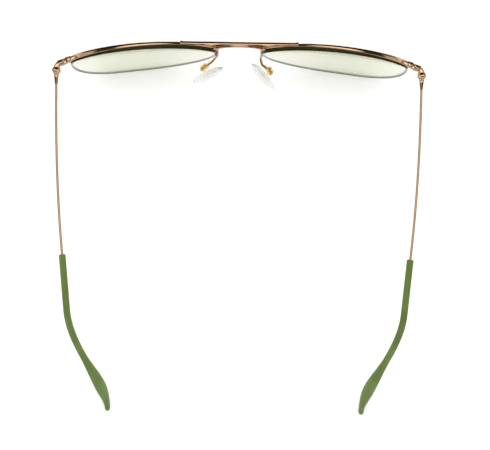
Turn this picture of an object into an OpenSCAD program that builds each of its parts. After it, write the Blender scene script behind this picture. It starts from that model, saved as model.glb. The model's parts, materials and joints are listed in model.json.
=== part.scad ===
// Aviator sunglasses with a double bridge, half-rimmed tinted lenses and wire temples.
// They stand open on a table, on the lower edges of the lenses and on the temple tips.
// +Z is up, the wearer looks along -Y and the wearer's left is +X.
// The origin is on the table, under the middle of the whole object's box.
// Each lens hangs in a half rim of metal: a nylon liner keys its upper edge to the rim, and a
// nylon cord in the groove of its lower edge pulls it up into that rim.

/* [Lenses] */
// Width of one lens
lens_w = 57; // [52:0.5:60]
// Height of one lens
lens_h = 48; // [44:0.5:50]
// Thickness of a lens
lens_t = 2.5; // [2.2:0.1:2.7]
// Radius of a lens's domed front
lens_r = 150; // [120:1:200]
// Gap between the two lenses at the nose
nose_gap = 18.5; // [17.5:0.5:19]
// How far each lens turns round the face
lens_wrap = 5; // [4:0.1:6]
// How far the tops of the lenses lean forward
lens_lean = 5; // [4:0.1:6]

/* [Rims] */
// Height of the rim wire above the lens's edge
rim_h = 1.1; // [0.9:0.1:1.4]
// Depth of the rim wire at the nose, front to back
rim_d = 1.15; // [1.05:0.05:1.3]
// Depth of the rim wire at the temple end
rim_d_outer = 2; // [1.6:0.1:2.2]
// How far the rim wire stands in front of the lens
rim_proud = 0.15; // [0.1:0.05:0.3]
// Depth of the groove round the lens and of the matching channel in the rim
groove_d = 0.45; // [0.3:0.05:0.6]
// Width of that groove and of the liner and cord in it
groove_w = 0.5; // [0.4:0.05:0.6]

/* [Bridges] */
// Length of the straight bar that joins the tops of the rims
bar_l = 45; // [42:0.5:48]
// Depth of the top bar, front to back
bar_d = 1.1; // [0.9:0.05:1.4]
// Height of the top bar
bar_h = 1.3; // [1:0.1:1.6]
// Height of the middle of the top bar above the table
bar_z = 47; // [46:0.1:47.5]
// Thickness of the arched lower bridge
bridge_t = 1.6; // [1.2:0.05:1.7]
// Height of the lower bridge at its middle
bridge_z = 42; // [41:0.25:43]
// How far the lower bridge rises above its ends
bridge_rise = 3; // [2.5:0.25:3.5]

/* [Hinges] */
// Distance of each hinge axis from the middle of the frame
hinge_x = 70.3; // [69.5:0.1:71]
// Height of the middle of a hinge above the table
hinge_z = 38.6; // [38:0.1:39.2]
// Radius of the hinge knuckles
knuckle_r = 1.55; // [1.4:0.05:1.7]
// Height of the temple's knuckle, between the two of the front
knuckle_h = 1.5; // [1.3:0.05:1.7]
// Height of each of the front's two knuckles
ear_h = 1.3; // [1.1:0.05:1.5]
// Radius of the hinge screw
screw_r = 0.6; // [0.5:0.05:0.65]

/* [Temples] */
// Radius of the temple wire
wire_r = 0.47; // [0.4:0.01:0.6]
// Distance from the hinge axis to the end of the temple's hinge leaf
leaf_l = 4.3; // [4:0.1:5]
// Radius of the sleeve where it starts
sleeve_r = 1.35; // [1.2:0.05:1.5]
// Half width of the sleeve's paddle, seen from above
paddle_side = 2.2; // [1.8:0.1:2.3]
// Half height of the sleeve's paddle
paddle_up = 2.5; // [2:0.1:2.8]

/* [Nose pads] */
// Length of a pad
pad_l = 15.5; // [14:0.5:16]
// Width of a pad
pad_w = 8.5; // [7.5:0.5:9]
// Thickness of a pad
pad_t = 2.4; // [2:0.1:2.6]
// How far a pad's long axis tips outwards from upright
pad_tip = 42; // [35:1:45]
// Radius of the box that holds a pad
pad_box_r = 1.4; // [1.2:0.05:1.5]
// Radius of the pad arm's wire
arm_r = 0.5; // [0.4:0.05:0.55]

/* [Hidden] */

ROSE_GOLD = "#dcae8c";
YELLOW_GOLD = "#e0b860";
LENS_GREEN = "#c4cc9c";
TIP_GREEN = "#6c8248";
CLEAR = "#e8eeea";

// A cut goes this far past what it cuts
past = 1;
// Facets of the large lens spheres, and of small round parts
dome_fn = 240;
round_fn = 48;

// ---- The lens's own frame: x towards the temple, y up, z out of the front ----

// Front of the domes, behind the table's middle
lens_front_y = -71.4;

// How far a dome of radius r falls behind its middle at x, y
function sag(x, y, r = lens_r) = r - sqrt(r * r - x * x - y * y);

// The lens's lowest point touches the table
bottom_x = 5;
lens_centre = [
    nose_gap / 2 + lens_w / 2 * cos(lens_wrap),
    lens_front_y,
    lens_h / 2 * cos(lens_lean) - sag(bottom_x, lens_h / 2) * sin(lens_lean)
];
lens_out = [cos(lens_wrap), sin(lens_wrap), 0];
lens_up = [sin(lens_lean) * sin(lens_wrap), -sin(lens_lean) * cos(lens_wrap), cos(lens_lean)];
lens_ahead = [sin(lens_wrap) * cos(lens_lean), -cos(lens_wrap) * cos(lens_lean), -sin(lens_lean)];

// A point at x, y on the lens, the given depth behind its domed front
function at_lens(x, y, depth) =
    lens_centre + x * lens_out + y * lens_up - (sag(x, y) + depth) * lens_ahead;

module in_lens_frame() translate(lens_centre) rotate([90 + lens_lean, 0, lens_wrap]) children();

// ---- The lens's outline: four quarter superellipses that meet at its extreme points ----
// Angle 0 is the temple side, 90 the top, 180 the nose side and 270 the bottom.

top_x = 0;
outer_y = 3;
nose_y = 9;
half_w = lens_w / 2;
half_h = lens_h / 2;

function signed_power(v, p) = sign(v) * pow(abs(v), p);
function quarter(t, cx, cy, a, b, n) =
    [cx + a * signed_power(cos(t), 2 / n), cy + b * signed_power(sin(t), 2 / n)];
function edge(t) =
    cos(t) >= 0 && sin(t) >= 0 ? quarter(t, top_x, outer_y, half_w - top_x, half_h - outer_y, 2.4) :
    sin(t) >= 0 ? quarter(t, top_x, nose_y, half_w + top_x, half_h - nose_y, 2.2) :
    cos(t) < 0 ? quarter(t, bottom_x, nose_y, half_w + bottom_x, half_h + nose_y, 2.1) :
    quarter(t, bottom_x, outer_y, half_w - bottom_x, half_h + outer_y, 2.5);

// The point at angle t, moved outwards square to the edge
function edge_out(t, out) =
    let (d = edge(t + 0.5) - edge(t - 0.5))
    edge(t) + out / norm(d) * [d.y, -d.x];

edge_step = 3.75;

// Everything inside the outline, grown outwards by out
module plate(out) linear_extrude(height = 40, center = true)
    polygon([for (t = [0 : edge_step : 359]) edge_out(t, out)]);

// A strip along the edge from angle from to angle to, between two distances out of it
module strip(from, to, inner, outer) {
    steps = ceil((to - from) / edge_step);
    ts = [for (i = [0 : steps]) from + (to - from) * i / steps];
    linear_extrude(height = 40, center = true)
        polygon(concat(
            [for (t = ts) edge_out(t, outer)],
            [for (i = [steps : -1 : 0]) edge_out(ts[i], inner)]
        ));
}

module dome(depth) translate([0, 0, -lens_r]) sphere(r = lens_r - depth, $fn = dome_fn);

// What lies between two depths behind the lens's domed front
module layer(front, back) intersection() {
    children();
    difference() {
        dome(front);
        dome(back);
    }
}

// The rim runs from just below the end piece, over the top and down beside the nose
rim_from = 3 * edge_step;
rim_to = 53 * edge_step;
groove_front = (rim_d - rim_proud - groove_w) / 2;
groove_back = groove_front + groove_w;

// ---- Sweeps ----

function unit(v) = v / norm(v);
function bezier(p, t) =
    pow(1 - t, 3) * p[0] + 3 * pow(1 - t, 2) * t * p[1] + 3 * (1 - t) * t * t * p[2] + t * t * t * p[3];

// Direction of a route at its point i
function along(route, i) = unit(route[min(i + 1, len(route) - 1)] - route[max(i - 1, 0)]);

// An oval ring square to a direction, half as wide as side and half as high as up
function oval(centre, dir, side, up, sides) =
    let (
        across = unit([1, 0, 0] - dir.x * dir),
        over = cross(across, dir)
    )
    [for (i = [0 : sides - 1])
        centre + side * cos(360 * i / sides) * across + up * sin(360 * i / sides) * over];

// A closed skin over a list of rings that all have the same number of points
module skin(rings) {
    n = len(rings[0]);
    last = len(rings) - 1;
    walls = [for (r = [0 : last - 1], i = [0 : n - 1])
        let (j = (i + 1) % n)
        each [[r * n + i, r * n + j, (r + 1) * n + i], [r * n + j, (r + 1) * n + j, (r + 1) * n + i]]];
    near_end = [[for (i = [n - 1 : -1 : 0]) i]];
    far_end = [[for (i = [0 : n - 1]) last * n + i]];
    polyhedron(points = [for (ring = rings) each ring], faces = concat(walls, near_end, far_end));
}

// A round wire along a route
module wire(route, r, sides = 12)
    skin([for (i = [0 : len(route) - 1]) oval(route[i], along(route, i), r, r, sides)]);

// ---- The hinge, its axis upright ----

hinge_at = [hinge_x, -61.5, hinge_z];
// Gap above and below the temple's knuckle, and round the screw in it
hinge_gap = 0.05;
ear_bottom = -knuckle_h / 2 - hinge_gap - ear_h;
ear_top = -ear_bottom;
screw_head_r = 1.05;
screw_head_h = 0.55;

// ---- The temple's route: straight back, a bow in to the sleeve, then the ear bend ----

sleeve_at = [67.2, 9.8, 36.3];
bend_at = [65.2, 31, 35.5];
ear_curve = [bend_at, [63.7, 46, 35], [51.2, 60, 14], [51.2, 71.43, 1.32]];
// What steers the bow of the bare wire, and the directions of the wire at its two ends
bow = [[hinge_x, -35.5, 37.8], [69.5, -13.5, 37]];
neck_dir = unit(bow[0] - hinge_at);
sleeve_dir = unit(bend_at - sleeve_at);
leaf_end = hinge_at + leaf_l * neck_dir;
bow_steps = 8;
ear_steps = 16;
sleeve_route = concat(
    [sleeve_at, (sleeve_at + bend_at) / 2],
    [for (i = [0 : ear_steps]) bezier(ear_curve, i / ear_steps)]
);
// Where along the sleeve, as a fraction, it starts to swell and is at its widest
swell_from = 0.46;
swell_most = 0.75;
// The wire inside the sleeve, which stops short of its end
core_route = concat(
    [sleeve_at - 2 * sleeve_dir],
    [for (i = [0 : len(sleeve_route) - 4]) sleeve_route[i]]
);
bow_curve = [leaf_end, bow[0], bow[1], core_route[0]];
bow_route = [for (i = [0 : bow_steps - 1]) bezier(bow_curve, i / bow_steps)];

// ---- The nose pads, which are bent to the wearer one by one ----

// Index of each side in the pairs below
LEFT = 0;
RIGHT = 1;
pad_box_at = [[13.5, -64.4, 28.5], [11.7, -63.5, 28.5]];
// How much nearer to the nose than its box each arm starts out
arm_bulge = [3.9, 3.3];
// How far each pad's screw turns outwards from straight back
pad_turn = [46, 25];
// How far a pad's face turns further than its screw
pad_skew = 15;
// Distance from the screw's axis to the middle of the pad's thickness
pad_reach = 3.35;
// How far a pad turns about its own long axis, so that its top edge is nearer the nose
pad_lean = 12;
pad_box_l = 2.6;
pad_slot = 1.3;
pad_screw_r = 0.4;
pad_eye_r = 0.95;
pad_gap = 0.05;

module in_pad_frame(side) translate(pad_box_at[side]) rotate([0, 0, -pad_turn[side]]) children();

// The pad's face: x along its width, y along its length, z towards the nose
module in_pad_face() rotate([0, 0, -pad_skew]) rotate([90, 0, 90]) mirror([0, 0, 1])
    translate([0, 0, pad_reach]) rotate([0, 0, pad_tip]) rotate([0, pad_lean, 0]) children();

// ---- Parts of the front ----

module on_side(side) {
    if (side == LEFT) children();
    else mirror([1, 0, 0]) children();
}

module lens(side) color(LENS_GREEN) on_side(side) in_lens_frame() difference() {
    layer(0, lens_t) plate(0);
    layer(groove_front, groove_back) difference() {
        plate(past);
        plate(-groove_d);
    }
}

// The rim is shallowest above the nose, and a rounder back makes it deepen towards the temple
module rim(side) {
    shallow = [-16, 16];
    outer_end = [26, 8.4];
    back_r = 1 / (1 / lens_r + 2 * (rim_d_outer - rim_d) / pow(norm(outer_end - shallow), 2));
    color(ROSE_GOLD) on_side(side) in_lens_frame() difference() {
        intersection() {
            strip(rim_from, rim_to, 0, rim_h);
            dome(-rim_proud);
        }
        translate([0, 0, -lens_r])
            rotate([-asin(shallow.y / lens_r), asin(shallow.x / lens_r), 0])
                translate([0, 0, lens_r - rim_d + rim_proud - back_r])
                    sphere(r = back_r, $fn = dome_fn);
        layer(groove_front, groove_back)
            strip(rim_from - edge_step, rim_to + edge_step, -past, groove_d);
    }
}

module rim_liner(side) color(CLEAR) on_side(side) in_lens_frame()
    layer(groove_front, groove_back)
        strip(rim_from + 2 * edge_step, rim_to - 2 * edge_step, -groove_d, groove_d);

module lens_cord(side) {
    // The cord lies just under the lens's edge, and its ends run up inside the rim
    flush = 0.03;
    color(CLEAR) on_side(side) in_lens_frame() layer(groove_front, groove_back)
        strip(rim_to - edge_step, 360 + rim_from + edge_step, -groove_d, -flush);
}

bar_front_y = -72.8;

// Cuts away what would reach through a rim's channel
module clear_of_channel(side) difference() {
    children();
    on_side(side) in_lens_frame() plate(groove_d + 0.05);
}

module top_bar() color(ROSE_GOLD)
    clear_of_channel(LEFT) clear_of_channel(RIGHT)
        translate([-bar_l / 2, bar_front_y, bar_z - bar_h / 2])
            cube([bar_l, bar_d, bar_h]);

// An arc of round bar whose ends run into the rims beside the nose
module lower_bridge() {
    half_span = 10.1;
    arc_r = (half_span * half_span + bridge_rise * bridge_rise) / (2 * bridge_rise);
    half_angle = asin(half_span / arc_r);
    top_y = -71.85;
    // The arch leans forward as much as the rims it joins
    arch_lean = 13;
    color(ROSE_GOLD)
        translate([0, top_y, bridge_z])
            rotate([90 + arch_lean, 0, 0])
                translate([0, -arc_r, 0])
                    rotate([0, 0, 90 - half_angle])
                        rotate_extrude(angle = 2 * half_angle, $fn = 180)
                            translate([arc_r, 0]) circle(d = bridge_t, $fn = round_fn);
}

end_bottom = hinge_z + ear_bottom + 0.1;
end_h = ear_top - ear_bottom - 0.2;
end_screw_at = [68.4, -64.4, hinge_z];

// The bracket that carries the hinge, with a clearance hole for the end screw
module end_piece(side) color(ROSE_GOLD) on_side(side) difference() {
    clear_of_channel(LEFT) translate([0, 0, end_bottom])
        linear_extrude(height = end_h)
            polygon([
                [62.2, -67.8], [64, -67.2], [66.4, -66.4], [69.4, -65.4], [70.3, -64.9], [71, -64],
                [71.2, -63.35], [68.6, -63.35], [67.4, -63.6], [66.6, -64.1], [64.2, -65.4], [62.4, -66]
            ]);
    translate(end_screw_at) cylinder(r = screw_r, h = 20, center = true, $fn = round_fn);
}

// A shank with a domed, slotted head; its origin is under the head
module slotted_screw(shank_r, shank_l, head_r, head_h) {
    dome_r = (head_r * head_r + head_h * head_h) / (2 * head_h);
    slot_w = head_r / 4;
    slot_d = head_h / 2;
    translate([0, 0, -shank_l]) cylinder(r = shank_r, h = shank_l + head_h / 4, $fn = round_fn);
    difference() {
        translate([0, 0, head_h - dome_r]) sphere(r = dome_r, $fn = round_fn);
        translate([0, 0, -3 * dome_r]) cylinder(r = 3 * dome_r, h = 3 * dome_r);
        translate([-head_r, -slot_w / 2, head_h - slot_d]) cube([2 * head_r, slot_w, head_h]);
    }
}

module end_screw(side) color(ROSE_GOLD) on_side(side)
    translate([end_screw_at.x, end_screw_at.y, end_bottom + end_h])
        slotted_screw(screw_r, end_h - 0.3, 0.85, 0.45);

// Two knuckles on the end piece, with a web behind each
module front_hinge(side) {
    web_w = 2.4;
    web_l = 2.1;
    color(ROSE_GOLD) on_side(side) translate(hinge_at) difference() {
        for (z = [ear_bottom, ear_top - ear_h]) translate([0, 0, z]) {
            cylinder(r = knuckle_r, h = ear_h, $fn = round_fn);
            translate([-web_w / 2 - 0.1, -web_l, 0]) cube([web_w, web_l, ear_h]);
        }
        cylinder(r = screw_r, h = 20, center = true, $fn = round_fn);
    }
}

module hinge_screw(side) color(ROSE_GOLD) on_side(side)
    translate(hinge_at + [0, 0, ear_top])
        slotted_screw(screw_r, ear_top - ear_bottom, screw_head_r, screw_head_h);

// ---- Parts of a temple ----

// The knuckle between the front's two, and the neck that tapers into the wire
module temple_hinge(side) {
    neck_w = 1.9;
    neck_h = 1.3;
    color(ROSE_GOLD) on_side(side) translate(hinge_at) difference() {
        union() {
            translate([0, 0, -knuckle_h / 2]) cylinder(r = knuckle_r, h = knuckle_h, $fn = round_fn);
            rotate([asin(neck_dir.z), 0, 0])
                translate([0, 0, -neck_h / 2])
                    linear_extrude(height = neck_h)
                        polygon([[-neck_w / 2, 0.9], [neck_w / 2, 0.9], [neck_w / 2, 2],
                            [wire_r + 0.03, leaf_l], [-wire_r - 0.03, leaf_l], [-neck_w / 2, 2]]);
        }
        cylinder(r = screw_r + hinge_gap, h = 20, center = true, $fn = round_fn);
    }
}

module temple_wire(side) color(ROSE_GOLD) on_side(side) wire(concat(bow_route, core_route), wire_r);

// Falls smoothly from 1 to 0 as t goes from 0 to 1
function fade(t) = (1 + cos(180 * t)) / 2;

// Half width and half height of the sleeve, a fraction u of the way along it
function swell(u, start, most, end) =
    u < swell_from ? start :
    u < swell_most ? most + (start - most) * fade((u - swell_from) / (swell_most - swell_from)) :
    end + (most - end) * fade((u - swell_most) / (1 - swell_most));

// A soft sleeve over the wire, which ends in a paddle
module temple_tip(side) {
    last = len(sleeve_route) - 1;
    sides = 20;
    end_side = 1.05;
    end_up = 1.56;
    // The sleeve's rounded start, then its length, then its rounded end
    collar = [for (s = [0.6, 0.9])
        oval(sleeve_at - (1 - s) * 0.8 * sleeve_dir, sleeve_dir, s * sleeve_r, s * sleeve_r, sides)];
    body = [for (i = [0 : last])
        let (u = i / last)
        oval(sleeve_route[i], along(sleeve_route, i),
            swell(u, sleeve_r, paddle_side, end_side), swell(u, sleeve_r, paddle_up, end_up), sides)];
    end_dir = along(sleeve_route, last);
    end_cap = [for (a = [35, 65])
        let (centre = sleeve_route[last] + 1.1 * sin(a) * end_dir)
        oval(centre, end_dir, end_side * cos(a), end_up * cos(a), sides)];
    color(TIP_GREEN) on_side(side) difference() {
        skin(concat(collar, body, end_cap));
        wire(core_route, wire_r);
    }
}

// ---- Parts of a nose pad ----

// The arm's route from the rim's back to the pad box, in round numbers
function arm_route(side) = let (box = pad_box_at[side]) [
    at_lens(-28.8, 3, 1.05), [8.6, -69.3, 26.5], [box.x - arm_bulge[side], -68.1, 26],
    box + [-2.6, -2.2, -1.6], box + [-1.6, -1.4, -0.8], box + [-0.9, -0.8, -0.2]
];

module pad_arm(side) color(ROSE_GOLD) on_side(side) difference() {
    wire(arm_route(side), arm_r);
    in_pad_frame(side) rotate([90, 0, 0]) cylinder(r = pad_box_r, h = pad_box_l, center = true, $fn = round_fn);
}

// A round box with a pocket for the pad's eye, open towards the nose, and a hole along it for the screw
module pad_box(side) color(YELLOW_GOLD) on_side(side) in_pad_frame(side) difference() {
    pocket_h = 2 * (pad_eye_r + 0.07);
    rotate([90, 0, 0]) cylinder(r = pad_box_r, h = pad_box_l, center = true, $fn = round_fn);
    translate([-past - pad_box_r, -pad_slot / 2, -pocket_h / 2])
        cube([past + 2 * pad_box_r - 0.35, pad_slot, pocket_h]);
    rotate([90, 0, 0]) cylinder(r = pad_screw_r, h = 20, center = true, $fn = round_fn);
}

module pad_screw(side) color(YELLOW_GOLD) on_side(side) in_pad_frame(side)
    translate([0, pad_box_l / 2, 0])
        rotate([-90, 0, 0])
            slotted_screw(pad_screw_r, pad_box_l, 1.05, 0.7);

function pad_oval(l, w, h) = [for (a = [0 : 15 : 345])
    [w / 2 * signed_power(cos(a), 0.9), l / 2 * signed_power(sin(a), 0.9), h]];

// The hard core of a pad: an eye on the screw, a stem and an oval plate
module core_shape(side) {
    plate_t = 0.7;
    stem_r = 0.5;
    in_pad_frame(side) {
        difference() {
            union() {
                rotate([90, 0, 0])
                    cylinder(r = pad_eye_r, h = pad_slot - 2 * pad_gap, center = true, $fn = round_fn);
                rotate([0, -90, 0])
                    cylinder(r = stem_r, h = pad_reach / cos(pad_skew), $fn = round_fn);
            }
            rotate([90, 0, 0])
                cylinder(r = pad_screw_r + pad_gap, h = 20, center = true, $fn = round_fn);
        }
        in_pad_face() translate([0, 0, -plate_t / 2])
            linear_extrude(height = plate_t)
                polygon([for (p = pad_oval(0.6 * pad_l, 0.5 * pad_w, 0)) [p.x, p.y]]);
    }
}

module pad_core(side) color(CLEAR) on_side(side) core_shape(side);

// A soft oval pad moulded round its core
module nose_pad(side) color(CLEAR) on_side(side) difference() {
    in_pad_frame(side) in_pad_face() skin([
        for (s = [[0.72, -0.5], [0.92, -0.35], [1, 0], [0.92, 0.3], [0.7, 0.5]])
            pad_oval(s[0] * pad_l, s[0] * pad_w, s[1] * pad_t)
    ]);
    core_shape(side);
}

top_bar();
lower_bridge();
lens(LEFT);  // left_lens
lens(RIGHT);  // right_lens
rim(LEFT);  // left_rim
rim(RIGHT);  // right_rim
rim_liner(LEFT);  // left_rim_liner
rim_liner(RIGHT);  // right_rim_liner
lens_cord(LEFT);  // left_lens_cord
lens_cord(RIGHT);  // right_lens_cord
end_piece(LEFT);  // left_end_piece
end_piece(RIGHT);  // right_end_piece
end_screw(LEFT);  // left_end_screw
end_screw(RIGHT);  // right_end_screw
front_hinge(LEFT);  // left_front_hinge
front_hinge(RIGHT);  // right_front_hinge
hinge_screw(LEFT);  // left_hinge_screw
hinge_screw(RIGHT);  // right_hinge_screw
temple_hinge(LEFT);  // left_temple_hinge
temple_hinge(RIGHT);  // right_temple_hinge
temple_wire(LEFT);  // left_temple_wire
temple_wire(RIGHT);  // right_temple_wire
temple_tip(LEFT);  // left_temple_tip
temple_tip(RIGHT);  // right_temple_tip
pad_arm(LEFT);  // left_pad_arm
pad_arm(RIGHT);  // right_pad_arm
pad_box(LEFT);  // left_pad_box
pad_box(RIGHT);  // right_pad_box
pad_screw(LEFT);  // left_pad_screw
pad_screw(RIGHT);  // right_pad_screw
pad_core(LEFT);  // left_pad_core
pad_core(RIGHT);  // right_pad_core
nose_pad(LEFT);  // left_nose_pad
nose_pad(RIGHT);  // right_nose_pad
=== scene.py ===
"""Looks of the aviator sunglasses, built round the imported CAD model.

The glasses face -Y, +Z is up and the wearer's left is +X. Lengths are in millimetres until
make() writes them in metres, and angles are in degrees. A piece is shaped for the left side, and
the right one is its mirror image. Only the nose pads and what holds them differ, because each is
bent on its own.
"""
import json
from math import asin, atan2, cos, degrees, radians, sin, sqrt

import bmesh
import bpy
from mathutils import Matrix, Vector


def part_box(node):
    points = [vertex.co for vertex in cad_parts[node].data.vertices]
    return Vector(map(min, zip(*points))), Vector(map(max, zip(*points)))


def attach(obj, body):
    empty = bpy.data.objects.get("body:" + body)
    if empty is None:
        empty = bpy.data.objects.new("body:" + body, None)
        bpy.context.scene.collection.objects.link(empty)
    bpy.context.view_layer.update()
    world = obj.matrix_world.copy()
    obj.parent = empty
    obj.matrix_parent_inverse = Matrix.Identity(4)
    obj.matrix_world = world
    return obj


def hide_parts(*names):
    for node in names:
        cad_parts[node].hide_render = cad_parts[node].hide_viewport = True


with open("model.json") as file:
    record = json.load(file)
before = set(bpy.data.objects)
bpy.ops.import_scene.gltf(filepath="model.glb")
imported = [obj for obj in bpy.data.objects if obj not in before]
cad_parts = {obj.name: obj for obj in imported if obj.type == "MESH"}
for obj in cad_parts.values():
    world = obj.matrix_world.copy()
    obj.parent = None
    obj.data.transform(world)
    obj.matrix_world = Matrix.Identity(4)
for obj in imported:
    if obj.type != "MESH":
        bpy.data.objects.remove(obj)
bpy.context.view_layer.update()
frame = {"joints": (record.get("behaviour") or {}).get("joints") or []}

MM = 0.001
LEFT, RIGHT = "left", "right"
MIRROR = {LEFT: 1, RIGHT: -1}


# ---------------------------------------------------------------- where the CAD model is

def box(node):
    """A CAD node's lowest and highest corner."""
    low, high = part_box(node)
    return low / MM, high / MM


def middle(low, high):
    return (low + high) / 2


def joint(name):
    """The frame's entry for a joint."""
    return next(entry for entry in frame["joints"] if entry["name"] == name)


def cosd(angle):
    return cos(radians(angle))


def sind(angle):
    return sin(radians(angle))


def turned(angle, axis):
    return Matrix.Rotation(radians(angle), 4, axis)


def turns(start, stop, count):
    """Even steps from start to stop, count of them, with both ends."""
    return [start + (stop - start) * i / count for i in range(count + 1)]


# ---------------------------------------------------------------- the lens and its outline
# The lens's own frame has x towards the temple, y up and z out of the domed front.

LENS_W = 57
LENS_H = 48
LENS_T = 2.5
LENS_R = 150
LENS_WRAP = 5
LENS_LEAN = 5

# The outline is made of four quarters of superellipses. These place the quarters' centres, and give
# the power of each by (upper half, outer half).
TOP_X, BOTTOM_X = 0, 5
OUTER_Y, NOSE_Y = 3, 9
EDGE_POWER = {(True, True): 2.4, (True, False): 2.2, (False, False): 2.1, (False, True): 2.5}

lens_out = Vector((cosd(LENS_WRAP), sind(LENS_WRAP), 0))
lens_up = Vector((
    sind(LENS_LEAN) * sind(LENS_WRAP), -sind(LENS_LEAN) * cosd(LENS_WRAP), cosd(LENS_LEAN)))
lens_ahead = lens_out.cross(lens_up)


def signed_power(value, power):
    """A power that keeps the value's sign."""
    return (abs(value) ** power) * (1 if value >= 0 else -1)


def edge(t):
    """The lens's outline at angle t, which runs from the temple side over the top."""
    c, s = cosd(t), sind(t)
    upper, outer = s >= 0, c >= 0
    cx = TOP_X if upper else BOTTOM_X
    cy = OUTER_Y if outer else NOSE_Y
    half_w = LENS_W / 2 - cx if outer else LENS_W / 2 + cx
    half_h = LENS_H / 2 - cy if upper else LENS_H / 2 + cy
    power = 2 / EDGE_POWER[upper, outer]
    return Vector((cx + half_w * signed_power(c, power), cy + half_h * signed_power(s, power)))


def edge_out(t, out):
    """The point at angle t, moved outwards square to the edge."""
    run = edge(t + 0.5) - edge(t - 0.5)
    return edge(t) + out / run.length * Vector((run.y, -run.x))


def from_lens(x, y, depth):
    """A point behind the lens's domed front, before the lens is put in its place."""
    z = sqrt((LENS_R - depth) ** 2 - x * x - y * y) - LENS_R
    return x * lens_out + y * lens_up + z * lens_ahead


def corners(points):
    """The lowest and highest corner of the box round the points."""
    return (Vector([min(p[i] for p in points) for i in range(3)]),
            Vector([max(p[i] for p in points) for i in range(3)]))


# The box round the CAD model's lens tells where the lens is.
EDGE_STEPS = 192
round_edge = turns(0, 360, EDGE_STEPS)[:-1]
loose = [from_lens(*edge(t), depth) for t in round_edge for depth in (0, LENS_T)]
lens_centre = middle(*box("left_lens")) - middle(*corners(loose))


def on_lens(x, y, depth):
    """A point behind the left lens's domed front."""
    return lens_centre + from_lens(x, y, depth)


def at_edge(t, section):
    """A section of (out, depth) points set across the left lens's edge at angle t."""
    return [on_lens(*edge_out(t, out), depth) for out, depth in section]


# ---------------------------------------------------------------- shapes, in millimetres

class Shape:
    """Points and faces gathered before they become one mesh. kinds has each face's material."""

    def __init__(self):
        self.points = []
        self.faces = []
        self.kinds = []

    def add(self, points, faces):
        first = len(self.points)
        self.points += [Vector(p) for p in points]
        self.faces += [[first + i for i in face] for face in faces]
        self.kinds += [0] * len(faces)
        return self

    def skin(self, rings, loop=False, poles=(None, None)):
        """A surface over rings of equal length. A pole closes an end, and without one it is flat."""
        n = len(rings[0])
        points = [p for ring in rings for p in ring]
        pairs = [(r, r + 1) for r in range(len(rings) - 1)]
        if loop:
            pairs.append((len(rings) - 1, 0))
        faces = [[a * n + i, a * n + (i + 1) % n, b * n + (i + 1) % n, b * n + i]
                 for a, b in pairs for i in range(n)]
        if not loop:
            for pole, ring in zip(poles, (0, len(rings) - 1)):
                around = [ring * n + i for i in range(n)]
                if pole is None:
                    faces.append(around)
                else:
                    points.append(pole)
                    faces += [[around[i], around[(i + 1) % n], len(points) - 1] for i in range(n)]
        return self.add(points, faces)

    def moved(self, matrix):
        self.points = [matrix @ p for p in self.points]
        return self


def bezier(p, t):
    """The point at t from 0 to 1 on the Bezier curve of four points."""
    return (1 - t) ** 3 * p[0] + 3 * (1 - t) ** 2 * t * p[1] + 3 * (1 - t) * t * t * p[2] + t ** 3 * p[3]


def between(a, b, c, d, t):
    """The point at t on the smooth curve from b to c. a comes before them and d after."""
    bow = 2 * a - 5 * b + 4 * c - d
    twist = 3 * b - a - 3 * c + d
    return b + 0.5 * t * ((c - a) + t * (bow + t * twist))


def spline(points, parts):
    """A smooth curve through the points, with this many parts between each two."""
    longer = [2 * points[0] - points[1]] + points + [2 * points[-1] - points[-2]]
    curve = [between(*longer[i:i + 4], k / parts) for i in range(len(points) - 1) for k in range(parts)]
    return curve + [points[-1]]


def along(route, i):
    """The direction of a route at its point i."""
    return (route[min(i + 1, len(route) - 1)] - route[max(i - 1, 0)]).normalized()


def oval(centre, ahead, side, up, count=24, power=2.0):
    """A ring square to ahead. side and up are its half width and half height.

    A power of 2 makes it an ellipse, and a greater one makes it boxier.
    """
    across = (Vector((1, 0, 0)) - ahead.x * ahead).normalized()
    over = across.cross(ahead)
    return [centre + side * signed_power(cosd(360 * i / count), 2 / power) * across
            + up * signed_power(sind(360 * i / count), 2 / power) * over for i in range(count)]


def tube(route, sizes, count=24, power=2.0, round_ends=True):
    """A bar along a route. sizes gives its half width and half height at each point."""
    rings = [oval(p, along(route, i), *sizes[i], count, power) for i, p in enumerate(route)]
    if round_ends:
        for end, step in ((0, -1), (len(route) - 1, 1)):
            ahead = along(route, end)
            side, up = sizes[end]
            cap = [oval(route[end] + step * up * sind(a) * ahead, ahead, side * cosd(a), up * cosd(a),
                        count, power) for a in (30, 55, 75)]
            rings = cap[::-1] + rings if step < 0 else rings + cap
    return Shape().skin(rings)


def lathe(profile, count=40):
    """The profile's (radius, height) points turned about +Z.

    A profile that keeps off the axis is closed, and makes a bored shape.
    """
    rings = [[Vector((r * cosd(360 * i / count), r * sind(360 * i / count), z)) for i in range(count)]
             for r, z in profile if r > 0]
    poles = [Vector((0, 0, z)) if r == 0 else None for r, z in (profile[0], profile[-1])]
    return Shape().skin(rings, loop=poles == [None, None], poles=poles)


def fillet(cx, cy, radius, start, stop, count=4):
    """An arc about (cx, cy), as points."""
    return [(cx + radius * cosd(a), cy + radius * sind(a)) for a in turns(start, stop, count)]


def rounded(outline, radius, count=4):
    """The outline's corners, each replaced by an arc of about this radius."""
    smooth = []
    n = len(outline)
    for i in range(n):
        before, at, after = (Vector(outline[j % n]) for j in (i - 1, i, i + 1))
        a, b = (before - at), (after - at)
        half = a.angle(b) / 2
        cut = min(radius / max(abs(sin(half) / cos(half)), 0.05), 0.45 * a.length, 0.45 * b.length)
        p, q = at + cut * a.normalized(), at + cut * b.normalized()
        for k in range(count + 1):
            t = k / count
            smooth.append((1 - t) ** 2 * p + 2 * t * (1 - t) * at + t * t * q)
    return smooth


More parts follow.
